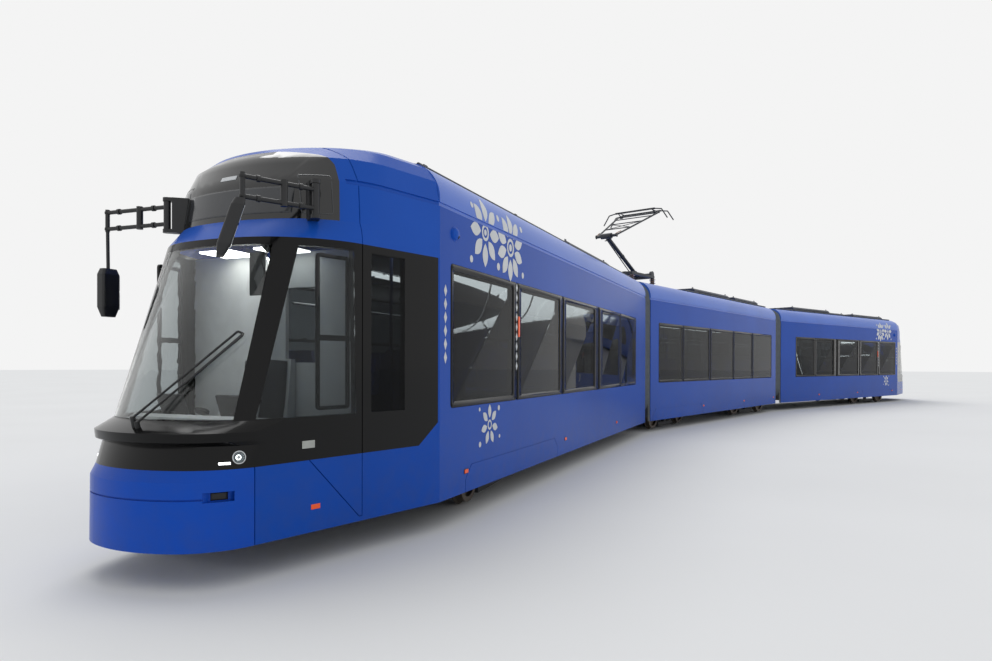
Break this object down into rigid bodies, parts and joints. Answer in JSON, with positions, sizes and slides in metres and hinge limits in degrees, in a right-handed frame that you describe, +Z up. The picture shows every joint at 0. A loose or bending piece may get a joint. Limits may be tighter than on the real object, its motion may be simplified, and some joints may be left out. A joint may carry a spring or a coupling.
{
  "type": "articulated low-floor tram",
  "caption": "Articulated low-floor tram, hinged at its bellows, with steering bogies, rolling wheelsets, folding pantograph and mirrors, and a hollow saloon and cabs.",
  "frame": {"origin": "on the track's centre line under the middle of the middle section, at the lowest point of the wheel flanges", "axes": "+X forward along the middle section, +Y to the tram's left, +Z up"},
  "size_m": [32.6832, 4.7876, 5.194],
  "materials": {
    "arm_steel": "satin",
    "bellows_rubber": "matt",
    "body_blue": "gloss",
    "cab_grey": "matt",
    "door_blue": "gloss",
    "floor_grey": "matt",
    "frame_grey": "satin",
    "gear_grey": "satin",
    "lamp_clear": "gloss",
    "mask_black": "gloss",
    "mirror_black": "gloss",
    "roof_blue": "satin",
    "seat_shell": "satin",
    "tinted_glass": "gloss",
    "wheel_steel": "worn",
    "wiper_black": "matt"
  },
  "bodies": {
    "middle_section": {"front_bellows": "bellows_rubber", "middle_doors": "door_blue", "middle_floor": "floor_grey", "middle_glass": "tinted_glass", "middle_roof": "roof_blue", "middle_roof_gear": "gear_grey", "middle_seats": "seat_shell", "middle_side_left": "body_blue", "middle_side_right": "body_blue", "pantograph_base": "arm_steel", "rear_bellows": "bellows_rubber"},
    "front_section": {"front_cab": "cab_grey", "front_doors": "door_blue", "front_floor": "floor_grey", "front_glass": "tinted_glass", "front_lamps": "lamp_clear", "front_mirror_brackets": "mirror_black", "front_nose_bumper": "body_blue", "front_nose_hood": "body_blue", "front_nose_mask": "mask_black", "front_roof": "roof_blue", "front_roof_gear": "gear_grey", "front_seats": "seat_shell", "front_side_left": "body_blue", "front_side_right": "body_blue", "front_windscreen": "tinted_glass", "front_wiper": "wiper_black"},
    "rear_section": {"rear_cab": "cab_grey", "rear_doors": "door_blue", "rear_floor": "floor_grey", "rear_glass": "tinted_glass", "rear_lamps": "lamp_clear", "rear_nose_bumper": "body_blue", "rear_nose_hood": "body_blue", "rear_nose_mask": "mask_black", "rear_roof": "roof_blue", "rear_roof_gear": "gear_grey", "rear_seats": "seat_shell", "rear_side_left": "body_blue", "rear_side_right": "body_blue", "rear_windscreen": "tinted_glass", "rear_wiper": "wiper_black"},
    "front_bogie": {"front_bogie_frame": "frame_grey"},
    "front_bogie_front_wheelset": {"front_bogie_front_wheelset": "wheel_steel"},
    "front_bogie_rear_wheelset": {"front_bogie_rear_wheelset": "wheel_steel"},
    "middle_front_bogie": {"middle_front_bogie_frame": "frame_grey"},
    "middle_front_bogie_front_wheelset": {"middle_front_bogie_front_wheelset": "wheel_steel"},
    "middle_front_bogie_rear_wheelset": {"middle_front_bogie_rear_wheelset": "wheel_steel"},
    "middle_rear_bogie": {"middle_rear_bogie_frame": "frame_grey"},
    "middle_rear_bogie_front_wheelset": {"middle_rear_bogie_front_wheelset": "wheel_steel"},
    "middle_rear_bogie_rear_wheelset": {"middle_rear_bogie_rear_wheelset": "wheel_steel"},
    "rear_bogie": {"rear_bogie_frame": "frame_grey"},
    "rear_bogie_front_wheelset": {"rear_bogie_front_wheelset": "wheel_steel"},
    "rear_bogie_rear_wheelset": {"rear_bogie_rear_wheelset": "wheel_steel"},
    "pantograph_lower_arm": {"pantograph_lower_arm": "arm_steel"},
    "pantograph_upper_arm": {"pantograph_upper_arm": "arm_steel"},
    "pantograph_head": {"pantograph_head": "arm_steel"},
    "mirror_left": {"mirror_left": "mirror_black"},
    "mirror_right": {"mirror_right": "mirror_black"}
  },
  "joints": [
    {"name": "front_articulation", "type": "hinge", "parent": "middle_section", "child": "front_section", "pos_m": [4.78, 0, 0.25], "axis": [0, 0, 1], "range_deg": [-43.08, 12.92], "deforming": ["front_bellows"]},
    {"name": "rear_articulation", "type": "hinge", "parent": "middle_section", "child": "rear_section", "pos_m": [-4.78, 0, 0.25], "axis": [0, 0, 1], "range_deg": [-15.88, 40.12], "deforming": ["rear_bellows"]},
    {"name": "front_bogie_steer", "type": "hinge", "parent": "front_section", "child": "front_bogie", "pos_m": [12.1907, 1.99679, 0.5], "axis": [0, 0, 1], "range_deg": [-18.7, 5.3]},
    {"name": "front_bogie_front_wheels_roll", "type": "hinge", "parent": "front_bogie", "child": "front_bogie_front_wheelset", "pos_m": [13.01717, 2.32702, 0.326], "axis": [-0.371, 0.9286, 0], "continuous": true},
    {"name": "front_bogie_rear_wheels_roll", "type": "hinge", "parent": "front_bogie", "child": "front_bogie_rear_wheelset", "pos_m": [11.36423, 1.66656, 0.326], "axis": [-0.371, 0.9286, 0], "continuous": true},
    {"name": "middle_front_bogie_steer", "type": "hinge", "parent": "middle_section", "child": "middle_front_bogie", "pos_m": [2.91, 0, 0.5], "axis": [0, 0, 1], "range_deg": [-17, 7]},
    {"name": "middle_front_bogie_front_wheels_roll", "type": "hinge", "parent": "middle_front_bogie", "child": "middle_front_bogie_front_wheelset", "pos_m": [3.79661, 0.07757, 0.326], "axis": [-0.0872, 0.9962, 0], "continuous": true},
    {"name": "middle_front_bogie_rear_wheels_roll", "type": "hinge", "parent": "middle_front_bogie", "child": "middle_front_bogie_rear_wheelset", "pos_m": [2.02339, -0.07757, 0.326], "axis": [-0.0872, 0.9962, 0], "continuous": true},
    {"name": "middle_rear_bogie_steer", "type": "hinge", "parent": "middle_section", "child": "middle_rear_bogie", "pos_m": [-2.91, 0, 0.5], "axis": [0, 0, 1], "range_deg": [-7, 17]},
    {"name": "middle_rear_bogie_front_wheels_roll", "type": "hinge", "parent": "middle_rear_bogie", "child": "middle_rear_bogie_front_wheelset", "pos_m": [-2.02339, -0.07757, 0.326], "axis": [0.0872, 0.9962, 0], "continuous": true},
    {"name": "middle_rear_bogie_rear_wheels_roll", "type": "hinge", "parent": "middle_rear_bogie", "child": "middle_rear_bogie_rear_wheelset", "pos_m": [-3.79661, 0.07757, 0.326], "axis": [0.0872, 0.9962, 0], "continuous": true},
    {"name": "rear_bogie_steer", "type": "hinge", "parent": "rear_section", "child": "rear_bogie", "pos_m": [-12.28392, 1.61144, 0.5], "axis": [0, 0, 1], "range_deg": [-6.5, 17.5]},
    {"name": "rear_bogie_front_wheels_roll", "type": "hinge", "parent": "rear_bogie", "child": "rear_bogie_front_wheelset", "pos_m": [-11.43567, 1.34203, 0.326], "axis": [0.3027, 0.9531, 0], "continuous": true},
    {"name": "rear_bogie_rear_wheels_roll", "type": "hinge", "parent": "rear_bogie", "child": "rear_bogie_rear_wheelset", "pos_m": [-13.13217, 1.88085, 0.326], "axis": [0.3027, 0.9531, 0], "continuous": true},
    {"name": "pantograph_lift", "type": "hinge", "parent": "middle_section", "child": "pantograph_lower_arm", "pos_m": [2.83, 0, 3.626], "axis": [0, 1, 0], "range_deg": [-25, 21]},
    {"name": "pantograph_elbow", "type": "hinge", "parent": "pantograph_lower_arm", "child": "pantograph_upper_arm", "pos_m": [4.33, 0, 4.371], "axis": [0, 1, 0], "range_deg": [-42, 50]},
    {"name": "pantograph_head_tilt", "type": "hinge", "parent": "pantograph_upper_arm", "child": "pantograph_head", "pos_m": [2.78, 0, 5.106], "axis": [0, 1, 0], "range_deg": [-25, 21]},
    {"name": "mirror_left_fold", "type": "hinge", "parent": "front_section", "child": "mirror_left", "pos_m": [15.05158, 3.54439, 2.691], "axis": [0, 0, 1], "range_deg": [0, 110]},
    {"name": "mirror_right_fold", "type": "hinge", "parent": "front_section", "child": "mirror_right", "pos_m": [15.44183, 2.09604, 2.691], "axis": [0, 0, 1], "range_deg": [0, 60]}
  ],
  "couplings": [
    {"joint": "pantograph_elbow", "follows": "pantograph_lift", "ratio": -2},
    {"joint": "pantograph_head_tilt", "follows": "pantograph_lift", "ratio": 1}
  ]
}
